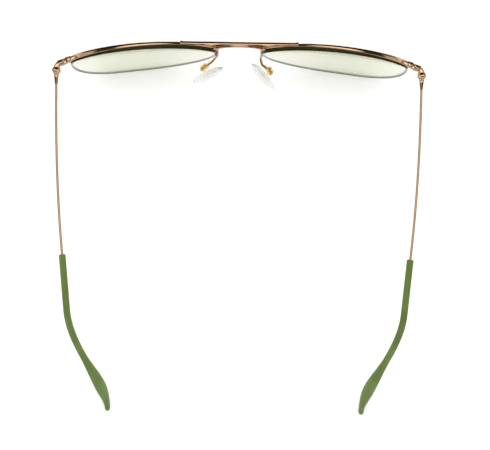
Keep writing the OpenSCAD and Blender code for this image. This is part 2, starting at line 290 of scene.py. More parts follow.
def inset(outline, distance):
    """The outline, which runs anticlockwise, moved inwards."""
    n = len(outline)
    moved = []
    for i in range(n):
        run = (outline[(i + 1) % n] - outline[i - 1]).normalized()
        moved.append(outline[i] + distance * Vector((-run.y, run.x)))
    return moved


def slab(outline, low, high, soft=0.2, corner=0.35):
    """An upright block over an outline, with rounded corners and softened edges."""
    area = sum(p[0] * q[1] - q[0] * p[1] for p, q in zip(outline[-1:] + outline[:-1], outline))
    base = rounded(outline if area > 0 else outline[::-1], corner)
    turn = (0, 30, 60, 90)
    levels = [(soft * (1 - sind(a)), low + soft * (1 - cosd(a))) for a in turn]
    levels += [(soft * (1 - sind(a)), high - soft * (1 - cosd(a))) for a in reversed(turn)]
    return Shape().skin([[Vector((p.x, p.y, z)) for p in inset(base, distance)] for distance, z in levels])


def block(low, high):
    """A plain box between two corners."""
    xs, ys, zs = zip(low, high)
    points = [(x, y, z) for x in xs for y in ys for z in zs]
    return Shape().add(
        points, [[0, 1, 3, 2], [4, 6, 7, 5], [0, 4, 5, 1], [2, 3, 7, 6], [0, 2, 6, 4], [1, 5, 7, 3]])


def joined(*shapes):
    """Several shapes of one material as one."""
    whole = Shape()
    for shape in shapes:
        whole.add(shape.points, shape.faces)
    return whole


def placed(name, data):
    """A new object in the scene."""
    thing = bpy.data.objects.new(name, data)
    bpy.context.scene.collection.objects.link(thing)
    return thing


SHARP = 38


def make(name, shape, side, materials, sharp=SHARP):
    """Writes a shape as a mesh object, mirrored for the right side.

    Its edges are smooth where they turn by less than the sharp angle.
    """
    flip = MIRROR[side]
    mesh = bpy.data.meshes.new(name)
    points = [(p.x * flip * MM, p.y * MM, p.z * MM) for p in shape.points]
    mesh.from_pydata(points, [], shape.faces)
    mesh.polygons.foreach_set("material_index", shape.kinds)
    tidy = bmesh.new()
    tidy.from_mesh(mesh)
    bmesh.ops.recalc_face_normals(tidy, faces=tidy.faces)
    tidy.to_mesh(mesh)
    tidy.free()
    mesh.shade_smooth()
    mesh.set_sharp_from_angle(angle=radians(sharp))
    for material in materials:
        mesh.materials.append(material)
    return placed(name, mesh)


def flip_matrix(side):
    """Mirrors what belongs to the right side."""
    return Matrix.Diagonal((MIRROR[side], 1, 1, 1))


def carve(thing, cutter):
    """Cuts a shape, which is already where it goes, out of a made piece."""
    tool = make("cutter", cutter, LEFT, [])
    change = thing.modifiers.new("cut", "BOOLEAN")
    change.object = tool
    change.solver = "EXACT"
    found = bpy.context.evaluated_depsgraph_get()
    mesh = bpy.data.meshes.new_from_object(thing.evaluated_get(found))
    thing.modifiers.clear()
    old = thing.data
    thing.data = mesh
    bpy.data.meshes.remove(old)
    bpy.data.objects.remove(tool)
    thing.data.name = thing.name
    thing.data.set_sharp_from_angle(angle=radians(SHARP))


def settle(thing, node, body):
    """A made piece rides on its body, and stands for its CAD node."""
    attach(thing, body)
    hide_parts(node)


# ---------------------------------------------------------------- materials

def add(tree, kind, inputs=(), **settings):
    """Adds a node. An input given as a socket is linked, and any other value is set."""
    node = tree.nodes.new(kind)
    for key, value in settings.items():
        setattr(node, key, value)
    for key, value in dict(inputs).items():
        if isinstance(value, bpy.types.NodeSocket):
            tree.links.new(value, node.inputs[key])
        else:
            node.inputs[key].default_value = value
    return node


def new_material(name):
    """An empty material and its node tree."""
    material = bpy.data.materials.new(name)
    material.use_nodes = True
    material.node_tree.nodes.clear()
    return material, material.node_tree


def noise(tree, scale, detail=3.0, stretch=(1, 1, 1)):
    """Cloudy noise in space. scale is in clouds per metre."""
    where = add(tree, "ShaderNodeTexCoord").outputs["Object"]
    mapped = add(tree, "ShaderNodeMapping", {"Vector": where, "Scale": stretch}).outputs[0]
    inputs = {"Vector": mapped, "Scale": scale, "Detail": detail}
    return add(tree, "ShaderNodeTexNoise", inputs).outputs["Fac"]


def portion(tree, value, low, high):
    """Runs from 0 where the value is low to 1 where it is high."""
    return add(tree, "ShaderNodeMapRange", {"Value": value, "From Min": low, "From Max": high}).outputs[0]


def height_share(tree, low, high):
    """Runs from 0 at one height to 1 at another."""
    where = add(tree, "ShaderNodeTexCoord").outputs["Object"]
    return portion(tree, add(tree, "ShaderNodeSeparateXYZ", {0: where}).outputs["Z"], low * MM, high * MM)


def ramp(tree, factor, stops):
    """A colour ramp. stops are (place, colour), and a number stands for a grey."""
    node = add(tree, "ShaderNodeValToRGB", {"Fac": factor})
    band = node.color_ramp
    while len(band.elements) < len(stops):
        band.elements.new(0.5)
    for element, (place, colour) in zip(band.elements, stops):
        element.position = place
        grey = (colour, colour, colour)
        element.color = (*(colour if isinstance(colour, tuple) else grey), 1)
    return node.outputs["Color"]


# The sockets that the Mix node uses for colours.
MIX_A, MIX_B, MIX_OUT = 6, 7, 2


def mixed(tree, factor, first, second, blend="MIX"):
    """Two colours mixed, each a socket or a value."""
    inputs = {"Factor": factor, MIX_A: first, MIX_B: second}
    return add(tree, "ShaderNodeMix", inputs, data_type="RGBA", blend_type=blend).outputs[MIX_OUT]


def bump(tree, height, strength, distance):
    """Small dents and bumps in a surface. distance is in metres."""
    inputs = {"Height": height, "Strength": strength, "Distance": distance}
    return add(tree, "ShaderNodeBump", inputs).outputs[0]


def finish_material(tree, surface, volume=None):
    """Joins the last shaders to the material's output."""
    out = add(tree, "ShaderNodeOutputMaterial", {"Surface": surface})
    if volume is not None:
        tree.links.new(volume, out.inputs["Volume"])


def metal(name, pale, deep, shine):
    """Polished plating: slightly uneven in colour, with faint hairlines and worn patches."""
    material, tree = new_material(name)
    patches = noise(tree, 240, 4)
    hairlines = noise(tree, 900, 2, (1, 1, 9))
    grain = noise(tree, 5200, 2)
    worn = 0.08
    colour = ramp(tree, patches, [(0.3, deep), (0.7, pale)])
    dull = ramp(tree, hairlines, [(0.35, shine), (0.75, shine + worn)])
    normal = bump(tree, grain, 0.05, 0.01 * MM)
    shader = add(tree, "ShaderNodeBsdfPrincipled", {
        "Base Color": colour, "Metallic": 1.0, "Roughness": dull, "Normal": normal})
    finish_material(tree, shader.outputs[0])
    return material


WHITE = (1, 1, 1)
TONE_HEIGHTS = (20, 46)


def clear(name, density, taken, ior, shine, haze, uneven, mid_tone=WHITE, top_tone=WHITE):
    """A clear solid that darkens with depth and lets lamps through. It can be made darker higher up.

    shine is its roughness where it is clean and haze where it is not, and uneven is how fine its
    waves are.
    """
    material, tree = new_material(name)
    tone = ramp(tree, height_share(tree, *TONE_HEIGHTS), [(0.1, 1.0), (0.5, mid_tone), (0.82, top_tone)])
    blur = ramp(tree, noise(tree, 160, 3), [(0.3, shine), (0.75, haze)])
    normal = bump(tree, noise(tree, uneven, 2), 0.04, 0.02 * MM)
    shader = add(tree, "ShaderNodeBsdfPrincipled", {
        "Base Color": tone, "Roughness": blur, "IOR": ior, "Transmission Weight": 1.0, "Normal": normal})
    lamps = add(tree, "ShaderNodeBsdfTransparent", {"Color": (*WHITE, 1)})
    path = add(tree, "ShaderNodeLightPath")
    both = add(tree, "ShaderNodeMixShader", {
        0: path.outputs["Is Shadow Ray"], 1: shader.outputs[0], 2: lamps.outputs[0]})
    depth = add(tree, "ShaderNodeVolumeAbsorption", {"Color": (*taken, 1), "Density": density})
    finish_material(tree, both.outputs[0], depth.outputs[0])
    return material


# The attribute that write_depths() gives a lens.
ACROSS = "across"


def lens_edge_material():
    """The ground edge of a lens, where its tint piles up: dark olive lines round it. Low down it is painted
    paler, painted light that stands in for the lit floor seen through the clear lower edge.
    """
    material, tree = new_material("lens_edge")
    across = add(tree, "ShaderNodeAttribute", attribute_name=ACROSS).outputs["Fac"]
    upper = ramp(tree, across, [
        (0.0, (0.06, 0.06, 0.02)), (0.5, (0.026, 0.025, 0.005)), (0.64, (0.040, 0.041, 0.009)),
        (0.74, (0.018, 0.016, 0.003)), (0.88, (0.030, 0.029, 0.007)), (1.0, (0.022, 0.020, 0.004))])
    # pale is painted light: low down it stands in for the lit floor seen through the clear glass, and the
    # dark olive line keeps only a narrow band there.
    pale, dark = (0.66, 0.67, 0.55), (0.03, 0.03, 0.01)
    lower = ramp(tree, across, [
        (0.0, pale), (0.45, pale), (0.55, dark), (0.8, dark), (0.88, pale), (1.0, pale)])
    grain = noise(tree, 1400, 3)
    uneven = ramp(tree, grain, [(0.3, 0.75), (0.7, 1.0)])
    lines = mixed(tree, height_share(tree, 3, 14), lower, upper)
    dull = ramp(tree, noise(tree, 700, 3), [(0.3, 0.16), (0.7, 0.3)])
    shader = add(tree, "ShaderNodeBsdfPrincipled", {
        "Base Color": mixed(tree, 1.0, lines, uneven, "MULTIPLY"), "Roughness": dull, "IOR": 1.22,
        "Normal": bump(tree, grain, 0.1, 0.02 * MM)})
    finish_material(tree, shader.outputs[0])
    return material


def sleeve_material():
    """Satin moulded rubber: a fine grain, soft mottling and a pale bloom where it turns away."""
    material, tree = new_material("tip_sleeve")
    mottle = noise(tree, 120, 4)
    grain = noise(tree, 4200, 3)
    colour = ramp(tree, mottle, [
        (0.25, (0.070, 0.116, 0.014)), (0.5, (0.094, 0.148, 0.022)), (0.75, (0.122, 0.184, 0.034))])
    dull = ramp(tree, noise(tree, 500, 3), [(0.3, 0.42), (0.7, 0.56)])
    shader = add(tree, "ShaderNodeBsdfPrincipled", {
        "Base Color": colour, "Roughness": dull, "IOR": 1.45, "Sheen Weight": 0.12, "Sheen Roughness": 0.45,
        "Sheen Tint": (0.75, 0.85, 0.6, 1), "Normal": bump(tree, grain, 0.25, 0.04 * MM)})
    finish_material(tree, shader.outputs[0])
    return material


def in_reflections(tree):
    """Is 1 for what polished metal reflects, and 0 for everything else, clear glass too."""
    path = add(tree, "ShaderNodeLightPath").outputs
    shiny = add(tree, "ShaderNodeMath", {0: path["Is Glossy Ray"], 1: path["Is Reflection Ray"]},
                operation="MULTIPLY")
    return add(tree, "ShaderNodeMath", {0: shiny.outputs[0], 1: path["Is Singular Ray"]},
               operation="SUBTRACT", use_clamp=True).outputs[0]


def floor_material():
    """White paper, which polished metal sees greyer."""
    material, tree = new_material("floor")
    paper = ramp(tree, noise(tree, 6, 2), [(0.3, (0.93, 0.93, 0.925)), (0.7, (0.95, 0.95, 0.945))])
    grey = (0.55, 0.55, 0.54, 1)
    shader = add(tree, "ShaderNodeBsdfPrincipled", {
        "Base Color": mixed(tree, in_reflections(tree), paper, grey),
        "Roughness": 0.9, "Specular IOR Level": 0.1})
    finish_material(tree, shader.outputs[0])
    return material


ROSE_GOLD = metal("rose_gold", pale=(0.90, 0.60, 0.385), deep=(0.83, 0.525, 0.32), shine=0.07)
YELLOW_GOLD = metal("yellow_gold", pale=(0.90, 0.64, 0.27), deep=(0.80, 0.52, 0.18), shine=0.06)
LENS_GLASS = clear("lens", density=90, taken=(0.447, 0.506, 0.0), ior=1.5,
                   shine=0.0, haze=0.0, uneven=90,
                   mid_tone=(0.88, 0.87, 0.79), top_tone=(0.34, 0.32, 0.22))
LENS_EDGE = lens_edge_material()
NYLON = clear("clear_nylon", density=200, taken=(0.85, 0.86, 0.8), ior=1.5,
              shine=0.05, haze=0.15, uneven=500,
              mid_tone=(0.62, 0.61, 0.45), top_tone=(0.45, 0.44, 0.30))
SLEEVE = sleeve_material()
SILICONE = clear("pad_silicone", density=50, taken=(0.53, 0.55, 0.47), ior=1.18,
                 shine=0.18, haze=0.28, uneven=300)
PAD_CORE = clear("pad_core", density=30, taken=(0.5, 0.55, 0.5), ior=1.05, shine=0.1, haze=0.2, uneven=300)


# ---------------------------------------------------------------- camera, floor and light, in metres

CAMERA_AT = (-0.0032, -0.0031, 0.8)
CAMERA_TURN = 180.88
CAMERA_LENS = 145.3
CAMERA_SENSOR = 36
FLOOR_HALF = 4
KEY_SIZE = 0.3
KEY_POWER = 3
KEY_FAR = 1.5
KEY_LEAN = 13


def camera():
    """Straight above the glasses, with their front at the top of the picture."""
    data = bpy.data.cameras.new("camera")
    data.sensor_width = CAMERA_SENSOR
    data.lens = CAMERA_LENS
    thing = placed("camera", data)
    thing.location = CAMERA_AT
    thing.rotation_euler = (0, 0, radians(CAMERA_TURN))
    bpy.context.scene.camera = thing


def floor():
    """A wide sheet that the glasses stand on."""
    mesh = bpy.data.meshes.new("floor")
    signs = [(-1, -1), (1, -1), (1, 1), (-1, 1)]
    mesh.from_pydata([(x * FLOOR_HALF, y * FLOOR_HALF, 0) for x, y in signs], [], [[0, 1, 2, 3]])
    mesh.materials.append(floor_material())
    placed("floor", mesh)


def room():
    """A plain pale room. Polished metal sees a bright ceiling, a dark gap round it and grey walls.

    What it sees towards the front is darker still.
    """
    world = bpy.data.worlds.new("room")
    world.use_nodes = True
    tree = world.node_tree
    tree.nodes.clear()
    where = add(tree, "ShaderNodeTexCoord").outputs["Generated"]
    split = add(tree, "ShaderNodeSeparateXYZ", {0: where}).outputs
    bands = ramp(tree, split["Z"], [
        (0.0, 0.52), (0.56, 0.52), (0.64, 0.04), (0.925, 0.04), (0.955, 1.0), (0.99, 1.3)])
    front = ramp(tree, portion(tree, split["Y"], -1.0, 1.0), [(0.0, 0.05), (0.32, 0.05), (0.4, 1.0)])
    plain = (1.25, 1.25, 1.24, 1)
    seen = mixed(tree, in_reflections(tree), plain, mixed(tree, 1.0, bands, front, "MULTIPLY"))
    back = add(tree, "ShaderNodeBackground", {"Color": seen, "Strength": 1.0})
    add(tree, "ShaderNodeOutputWorld", {"Surface": back.outputs[0]})
    world.cycles.sampling_method = "NONE"
    bpy.context.scene.world = world


def key_light():
    """One large soft lamp, a little in front of straight above, which no reflection shows."""
    data = bpy.data.lights.new("key", "AREA")
    data.size = KEY_SIZE
    data.energy = KEY_POWER
    thing = placed("key", data)
    thing.location = (0, -KEY_FAR * sind(KEY_LEAN), KEY_FAR * cosd(KEY_LEAN))
    thing.rotation_euler = (radians(-KEY_LEAN), 0, 0)
    thing.visible_glossy = False
    thing.visible_camera = False


camera()
floor()
room()
key_light()
bpy.context.scene.view_settings.view_transform = "Standard"


# ---------------------------------------------------------------- lenses, liners and cords

GROOVE_D = 0.45
GROOVE_FRONT = 0.25
GROOVE_BACK = 0.75
LENS_BEVEL = 0.06
LENS_SHARP = 25


def lens_shape():
    """A domed lens with a groove round its edge. kinds has 0 for its two faces and 1 for its edge."""
    heart = Vector((1, 4))
    face_steps = 14
    shares = [i / face_steps for i in range(1, face_steps + 1)]

    def face(depth):
        """The rings of one face, from near its heart out to its edge."""
        rim = [edge_out(t, -LENS_BEVEL) for t in round_edge]
        return [[on_lens(*(heart + share * (p - heart)), depth) for p in rim] for share in shares]

    front, back = face(0), face(LENS_T)
    profile = [(-LENS_BEVEL, 0), (0, LENS_BEVEL), (0, GROOVE_FRONT), (-GROOVE_D, GROOVE_FRONT),
               (-GROOVE_D, GROOVE_BACK), (0, GROOVE_BACK), (0, (GROOVE_BACK + LENS_T) / 2),
               (0, LENS_T - LENS_BEVEL), (-LENS_BEVEL, LENS_T)]
    side = [[on_lens(*edge_out(t, out), depth) for t in round_edge] for out, depth in profile]
    rings = front[:-1] + side + back[:-1][::-1]
    shape = Shape().skin(rings, poles=(on_lens(*heart, 0), on_lens(*heart, LENS_T)))
    first = (len(front) - 1) * EDGE_STEPS
    count = (len(profile) - 1) * EDGE_STEPS
    shape.kinds[first:first + count] = [1] * count
    return shape


def write_depths(thing, side):
    """Writes how far through the lens each point lies, from 0 at the front to 1 at the back."""
    flip = MIRROR[side]
    values = []
    for v in thing.data.vertices:
        p = Vector((v.co.x * flip, v.co.y, v.co.z)) / MM - lens_centre
        x, y, z = p.dot(lens_out), p.dot(lens_up), p.dot(lens_ahead)
        values.append((LENS_R - sqrt(x * x + y * y + (z + LENS_R) ** 2)) / LENS_T)
    thing.data.attributes.new(ACROSS, "FLOAT", "POINT").data.foreach_set("value", values)


def lens(side):
    """The lens, whose ground edge has a look of its own."""
    thing = make(f"{side}_lens_made", lens_shape(), side, [LENS_GLASS, LENS_EDGE], LENS_SHARP)
    write_depths(thing, side)
    settle(thing, f"{side}_lens", "front")


# The rim covers the edge between these angles. The cord reaches one step under its ends, and the liner
# stops two steps from them.
RIM_FROM = 11.25
RIM_TO = 198.75
STEP = 3.75
PLAY = 0.02


def liner_shape():
    """A flat band that keys the groove of the upper edge to the rim's channel."""
    out, front, back = GROOVE_D - PLAY, GROOVE_FRONT + PLAY, GROOVE_BACK - PLAY
    section = [(-out, front), (out, front), (out, back), (-out, back)]
    return Shape().skin([at_edge(t, section) for t in turns(RIM_FROM + 2 * STEP, RIM_TO - 2 * STEP, 120)])


def cord_shape():
    """A round nylon cord in the groove of the lower edge."""
    at = [(-GROOVE_D / 2 - PLAY, (GROOVE_FRONT + GROOVE_BACK) / 2)]
    route = [at_edge(t, at)[0] for t in turns(RIM_TO - STEP, 360 + RIM_FROM + STEP, 140)]
    radius = GROOVE_D / 2 - PLAY
    return tube(route, [(radius, radius)] * len(route), 10)


# ---------------------------------------------------------------- rims and bridges

RIM_H = 1.1
RIM_D = 1.15
RIM_D_OUTER = 2
RIM_PROUD = 0.15
RIM_SOFT = 0.28
RIM_CROWN = 0.07
SHALLOW = Vector((-16, 16))
OUTER_END = Vector((26, 8.4))


def rim_back(x, y):
    """Depth of the rim's back: shallowest above the nose, deepest at the temple."""
    growth = (RIM_D_OUTER - RIM_D) / (OUTER_END - SHALLOW).length_squared
    return RIM_D - RIM_PROUD + growth * (Vector((x, y)) - SHALLOW).length_squared


def rim_section(back):
    """The rim's section as (out, depth): soft outer corners, a slight crown, and a channel inside."""
    top = RIM_H - RIM_CROWN
    front_turn = fillet(top - RIM_SOFT, -RIM_PROUD + RIM_SOFT, RIM_SOFT, 270, 360)
    back_turn = fillet(top - RIM_SOFT, back - RIM_SOFT, RIM_SOFT, 0, 90)
    d0, d1 = front_turn[-1][1], back_turn[0][1]
    steps = 6
    arch = [(top + RIM_CROWN * sind(180 * k / steps), d0 + (d1 - d0) * k / steps) for k in range(1, steps)]
    cut_out, cut_deep = 0.04, 0.05
    inside = [(cut_out, back), (0, back - cut_deep), (0, GROOVE_BACK), (GROOVE_D, GROOVE_BACK),
              (GROOVE_D, GROOVE_FRONT), (0, GROOVE_FRONT), (0, cut_deep - RIM_PROUD), (cut_out, -RIM_PROUD)]
    return front_turn + arch + back_turn + inside


def rim_shape():
    """The rim over the lens's upper edge."""
    return Shape().skin([at_edge(t, rim_section(rim_back(*edge(t)))) for t in turns(RIM_FROM, RIM_TO, 170)])


def hump(value, place, half_width):
    """A smooth hump, 1 at the place and 0 beyond its half width."""
    return max(0, 1 - ((value - place) / half_width) ** 2)


bar_low, bar_high = box("top_bar")
BAR_RIDGE = 0.82
BAR_BOXY = 0.45
# The raised step as (distance from the bar's end, how proud), and how far in the bar is even again.
BAR_STEP = ((0, 0.18), (0.5, 0.16), (0.9, 0.05))
BAR_STEP_L = 1.6
BRAZE_AT = 11
BRAZE_HALF = 2.8
BRAZE_D = 0.5


def bar_shape():
    """A bar with a rounded front and a flatter back.

    It is brazed to the rims, and each end has a small raised step in front.
    """
    half = (bar_high.x - bar_low.x) / 2
    ridge = bar_low.y + BAR_RIDGE * (bar_high.y - bar_low.y)
    z, up = middle(bar_low.z, bar_high.z), (bar_high.z - bar_low.z) / 2
    even = half - BAR_STEP_L
    places = [(inward - half, grow) for inward, grow in BAR_STEP]
    places += [(x, 0) for x in turns(-even, even, 24)]
    places += [(half - inward, grow) for inward, grow in reversed(BAR_STEP)]
    rings = []
    for x, grow in places:
        braze = BRAZE_D * hump(abs(x), BRAZE_AT, BRAZE_HALF)
        ring = []
        for a in turns(0, 360, 32)[:-1]:
            c, s = cosd(a), sind(a)
            power = 1 if c < 0 else BAR_BOXY
            reach = ridge - bar_low.y + grow if c < 0 else bar_high.y - ridge + braze
            y = ridge + reach * signed_power(c, power)
            ring.append(Vector((x, y, z + up * signed_power(s, power))))
        rings.append(ring)
    return Shape().skin(rings)


bridge_low, bridge_high = box("lower_bridge")
BRIDGE_R = 0.8
BRIDGE_RISE = 3
BRIDGE_HALF = 10.1
BRIDGE_LEAN = 13
BRIDGE_BOXY = 0.6
# Each bead of braze as (how proud, where along the half arch, how wide to each side).
BRIDGE_BEADS = ((0.28, 0.86, 0.13), (0.1, 0.68, 0.06))


def bridge_shape():
    """An arched bar with beads of braze near its ends, where it meets the rims."""
    arc_r = (BRIDGE_HALF ** 2 + BRIDGE_RISE ** 2) / (2 * BRIDGE_RISE)
    half_angle = degrees(asin(BRIDGE_HALF / arc_r))
    top = Vector((0, bridge_low.y + BRIDGE_R, bridge_high.z - BRIDGE_R))
    out, down = Vector((1, 0, 0)), Vector((0, sind(BRIDGE_LEAN), -cosd(BRIDGE_LEAN)))
    arch = turns(-half_angle, half_angle, 48)
    route = [top + arc_r * sind(a) * out + arc_r * (1 - cosd(a)) * down for a in arch]
    front = Vector((0, -1, 0))
    rings = []
    for i, p in enumerate(route):
        near_end = abs(arch[i]) / half_angle
        radius = BRIDGE_R + sum(proud * hump(near_end, at, wide) for proud, at, wide in BRIDGE_BEADS)
        ahead = along(route, i)
        over = (front - front.dot(ahead) * ahead).normalized()
        across = ahead.cross(over)
        rings.append([p + radius * (signed_power(cosd(a), BRIDGE_BOXY) * across
                                    + signed_power(sind(a), BRIDGE_BOXY) * over)
                      for a in turns(0, 360, 28)[:-1]])
    return Shape().skin(rings)


# ---------------------------------------------------------------- hinges

hinge_at = Vector(joint("left_temple_fold")["pos_m"]) / MM
KNUCKLE_R = 1.55
KNUCKLE_H = 1.5
EAR_H = 1.3
SCREW_R = 0.6
HINGE_GAP = 0.05
EAR_TOP = KNUCKLE_H / 2 + HINGE_GAP + EAR_H
END_SCREW = Vector((68.4, -64.4))


def screw_shape(shank_r, shank_l, head_r, head_h):
    """A shank under a domed head, with its origin under the head."""
    dome_r = (head_r ** 2 + head_h ** 2) / (2 * head_h)
    spread = degrees(asin(head_r / dome_r))
    dome = [(dome_r * sind(a), head_h - dome_r + dome_r * cosd(a)) for a in turns(spread, 0, 8)]
    tip, lip = 0.08, 0.05
    profile = [(0, -shank_l), (shank_r - tip, -shank_l), (shank_r, -shank_l + tip), (shank_r, 0),
               (head_r - lip, 0), (head_r, lip)] + dome[1:-1] + [(0, head_h)]
    return lathe(profile)


def screw(side, node, matrix, shank, head, turn, material):
    """A screw with a straight cut across its head.

    shank and head are (radius, length), matrix is where the underside of the head goes, and turn is
    the angle of the cut.
    """
    head_r, head_h = head
    cut_half, cut_floor = head_r / 7, head_h * 0.45
    cut = block((-2 * head_r, -cut_half, cut_floor), (2 * head_r, cut_half, 2 * head_h))
    thing = make(f"{side}_{node}_made", screw_shape(*shank, *head).moved(matrix), side, [material])
    carve(thing, cut.moved(flip_matrix(side) @ matrix @ turned(turn, "Z")))
    settle(thing, f"{side}_{node}", "front")


def end_screw(side):
    """The small upright screw in the end piece."""
    top = Matrix.Translation((END_SCREW.x, END_SCREW.y, box("left_end_piece")[1].z))
    screw(side, "end_screw", top, (SCREW_R, 3.6), (0.85, 0.45), 35, ROSE_GOLD)


def hinge_screw(side):
    """The screw that the temple turns about."""
    top = Matrix.Translation(hinge_at + Vector((0, 0, EAR_TOP)))
    screw(side, "hinge_screw", top, (SCREW_R, 2 * EAR_TOP), (1.05, 0.55), -20, ROSE_GOLD)


def end_piece_shape():
    """The bracket from the rim to the hinge.

    It has a band round the corner, a collar that clasps the rim's end and a boss for the screw.
    """
    low, high = box("left_end_piece")
    band = [(62.6, -67.55), (66.4, -66.4), (69.2, -65.45), (70.0, -64.9), (70.6, -64.1), (70.8, -63.3),
            (68.4, -63.2), (67.4, -63.5), (66.6, -64.0), (62.9, -66.0)]
    collar = [(64.9, -67.1), (67.2, -66.4), (66.5, -64.2), (64.5, -65.2)]
    boss = [(67.0, -66.2), (69.9, -65.2), (70.2, -63.6), (67.2, -63.5)]
    return joined(
        slab(band, low.z + 0.3, high.z - 0.3, 0.4, 0.6),
        slab(collar, low.z, high.z, 0.45, 0.3),
        slab(boss, low.z + 0.1, high.z - 0.02, 0.45, 0.45))


def knuckle(low, high, bore):
    """A bored, softened disc."""
    soft = 0.4
    outer = fillet(KNUCKLE_R - soft, low + soft, soft, -90, 0, 3)
    outer += fillet(KNUCKLE_R - soft, high - soft, soft, 0, 90, 3)
    return lathe([(bore, low)] + outer + [(bore, high)])


def front_hinge_shape():
    """Two knuckles, each with a web that runs forward to the end piece."""
    web = [(-1.3, -0.8), (1.1, -0.8), (0.9, -1.6), (0.4, -2.4), (-0.4, -3.1), (-1.3, -3.1)]
    thinner = 0.03
    parts = []
    for low in (-EAR_TOP, EAR_TOP - EAR_H):
        parts.append(knuckle(low, low + EAR_H, SCREW_R + 0.01))
        parts.append(slab(web, low + thinner, low + EAR_H - thinner, 0.3, 0.3))
    return joined(*parts).moved(Matrix.Translation(hinge_at))


SLEEVE_AT = Vector((67.2, 9.8, 36.3))
BEND_AT = Vector((65.2, 31, 35.5))
EAR_CURVE = [BEND_AT, Vector((63.7, 46, 35)), Vector((51.2, 60, 14)), Vector((51.2, 71.43, 1.32))]
BOW = [Vector((hinge_at.x, -35.5, 37.8)), Vector((69.5, -13.5, 37))]
neck_dir = (BOW[0] - hinge_at).normalized()
sleeve_dir = (BEND_AT - SLEEVE_AT).normalized()
LEAF_L = 4.3
NECK_SIDE = 0.88
NECK_FROM = 2.1
NECK_TO = LEAF_L + 0.9
WIRE_R = 0.52


def temple_hinge_shape():
    """The middle knuckle, and a neck that swells past the front's knuckles and slopes to the wire.

    The plan has the neck's reach from the hinge, its half width and its half height.
    """
    flush, swollen, thin = 0.68, 1.15, WIRE_R + 0.04
    plan = [(0.8, 1.05, flush), (1.62, 0.95, flush), (1.85, 0.92, swollen),
            (NECK_FROM, NECK_SIDE, swollen - 0.02)]
    for share in turns(0.15, 1, 12):
        plan.append((NECK_FROM + share * (NECK_TO - NECK_FROM), NECK_SIDE + share * (thin - NECK_SIDE),
                     swollen + share * (thin - swollen)))
    route = [hinge_at + reach * neck_dir for reach, side, up in plan]
    neck = tube(route, [(side, up) for reach, side, up in plan], 32, 5, round_ends=False)
    centre = knuckle(-KNUCKLE_H / 2, KNUCKLE_H / 2, SCREW_R + HINGE_GAP).moved(Matrix.Translation(hinge_at))
    return joined(centre, neck)


# ---------------------------------------------------------------- temples

EAR_PARTS = 16
bend = [bezier(EAR_CURVE, i / EAR_PARTS) for i in range(EAR_PARTS + 1)]
sleeve_points = [SLEEVE_AT, (SLEEVE_AT + BEND_AT) / 2] + bend
SLEEVE_R = 1.35
PADDLE = Vector((2.2, 2.5))
PADDLE_END = Vector((1.05, 1.5))
SWELL_FROM = 0.46
SWELL_MOST = 0.75


def swell(u):
    """Half width and half height of the sleeve, a fraction u of the way along it."""
    start = Vector((SLEEVE_R, SLEEVE_R))
    if u < SWELL_FROM:
        return start
    if u < SWELL_MOST:
        return start + (PADDLE - start) * (1 - cosd(180 * (u - SWELL_FROM) / (SWELL_MOST - SWELL_FROM))) / 2
    return PADDLE_END + (PADDLE - PADDLE_END) * (1 + cosd(180 * (u - SWELL_MOST) / (1 - SWELL_MOST))) / 2


def temple_wire_shape():
    """A bowed wire from the hinge's neck, which runs on inside the sleeve."""
    core = spline([SLEEVE_AT - 2 * sleeve_dir] + sleeve_points[:-3], 3)
    bow = [hinge_at + LEAF_L * neck_dir, *BOW, core[0]]
    route = [bezier(bow, share) for share in turns(0, 1, 24)][:-1] + core
    return tube(route, [(WIRE_R, WIRE_R)] * len(route), 20)


SLEEVE_LIP = 0.5
SLEEVE_CAP = 1.1
# The mouth round the wire, as (gap to the wire, depth below the lip).
SLEEVE_MOUTH = ((0.02, 0.6), (0.1, 0.12), (0.22, 0.0))


def temple_tip_shape():
    """A soft sleeve: a rounded mouth round the wire, a long even run and a paddle."""
    count = 32
    flat_from, flat_over = 0.5, 0.3
    route = spline(sleeve_points, 5)
    last = len(route) - 1
    rings = []
    for gap, depth in SLEEVE_MOUTH:
        r = WIRE_R + gap
        rings.append(oval(SLEEVE_AT - (SLEEVE_LIP - depth) * sleeve_dir, sleeve_dir, r, r, count))
    for a in (0, 25, 50, 75):
        r = SLEEVE_R - SLEEVE_LIP + SLEEVE_LIP * sind(a)
        rings.append(oval(SLEEVE_AT - SLEEVE_LIP * cosd(a) * sleeve_dir, sleeve_dir, r, r, count))
    for i, p in enumerate(route):
        side, up = swell(i / last)
        flat = min(1, max(0, (i / last - flat_from) / flat_over))
        rings.append(oval(p, along(route, i), side, up, count, 2 + 0.3 * flat))
    ahead = along(route, last)
    for a in (20, 40, 60, 78):
        side, up = PADDLE_END * cosd(a)
        rings.append(oval(route[-1] + SLEEVE_CAP * sind(a) * ahead, ahead, side, up, count))
    return Shape().skin(rings, poles=(None, route[-1] + (SLEEVE_CAP + 0.02) * ahead))


# ---------------------------------------------------------------- nose pads

PAD_L = 15.5
PAD_W = 8.5
PAD_T = 2.4
PAD_DROP = 0.13
PAD_OVAL = 0.9
PAD_REACH = 3.35
# How a pad is turned from its screw: about the upright line, in its own plane and about its long axis.
PAD_SKEW = 15
PAD_TIP = 42
PAD_LEAN = 12
PAD_BOX_R = 1.4
PAD_BOX_L = 2.6
PAD_SLOT = 1.3
PAD_SCREW_R = 0.4
PAD_EYE_R = 0.95
PAD_EYE_HALF = 0.6
PAD_STEM_R = 0.5
PAD_PLATE_HALF = 0.35
ARM_R = 0.5
ARM_BULGE = {LEFT: 3.9, RIGHT: 3.3}


def pad_matrix(side):
    """Puts a shape on a pad's screw axis, y along the axis."""
    rock = joint(side + "_pad_rock")
    at = Vector(rock["pos_m"]) / MM
    axis = Vector(rock["axis"])
    turn = degrees(atan2(abs(axis.x), axis.y))
    return Matrix.Translation(Vector((abs(at.x), at.y, at.z))) @ turned(-turn, "Z")


